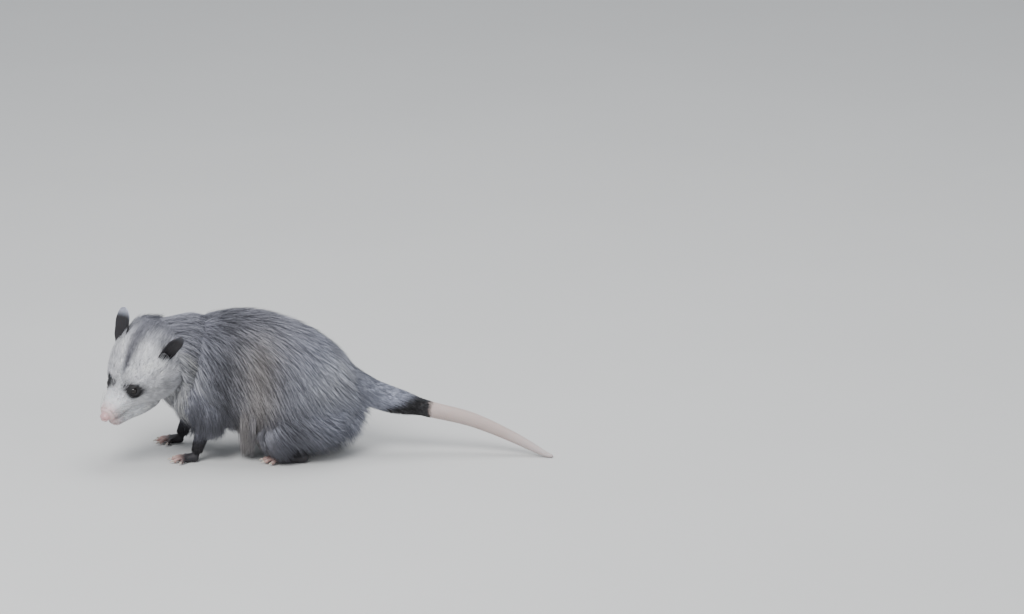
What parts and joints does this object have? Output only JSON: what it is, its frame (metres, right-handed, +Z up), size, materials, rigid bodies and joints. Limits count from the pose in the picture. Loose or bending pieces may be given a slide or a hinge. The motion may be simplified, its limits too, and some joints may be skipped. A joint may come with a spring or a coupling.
{
  "type": "virginia opossum model",
  "caption": "Life-size still model of a young adult Virginia opossum, walking low with its head turned to its left and its long bare tail trailing to the floor",
  "frame": {"origin": "on the floor, at the middle of the bounding box seen from above", "axes": "-X is the way the body walks, +X runs along the tail, -Y is the animal's left side, +Z is up"},
  "size_m": [0.566, 0.1458, 0.1923],
  "materials": {
    "face_fur": "short pale fur with dark eye patches and a grey wedge on the crown",
    "nose_skin": "moist bare pink skin",
    "eye": "wet black",
    "ear_skin": "thin bare black skin",
    "body_fur": "long loose grizzled grey fur",
    "leg_fur": "short dark fur",
    "foot_skin": "bare pinkish skin with pale claws",
    "tail_dark_skin": "black scaly skin",
    "tail_skin": "bare pinkish white scaly skin"
  },
  "bodies": {
    "root": {"head": "face_fur", "nose": "nose_skin", "eye_left": "eye", "eye_right": "eye", "ear_left": "ear_skin", "ear_right": "ear_skin", "neck": "body_fur", "torso": "body_fur", "fore_leg_left": "leg_fur", "fore_leg_right": "leg_fur", "hind_leg_left": "body_fur", "hind_leg_right": "body_fur", "fore_foot_left": "foot_skin", "fore_foot_right": "foot_skin", "hind_foot_left": "foot_skin", "hind_foot_right": "foot_skin", "tail_base": "body_fur", "tail_root": "tail_dark_skin", "tail_middle": "tail_skin", "tail_tip": "tail_skin"}
  },
  "joints": []
}
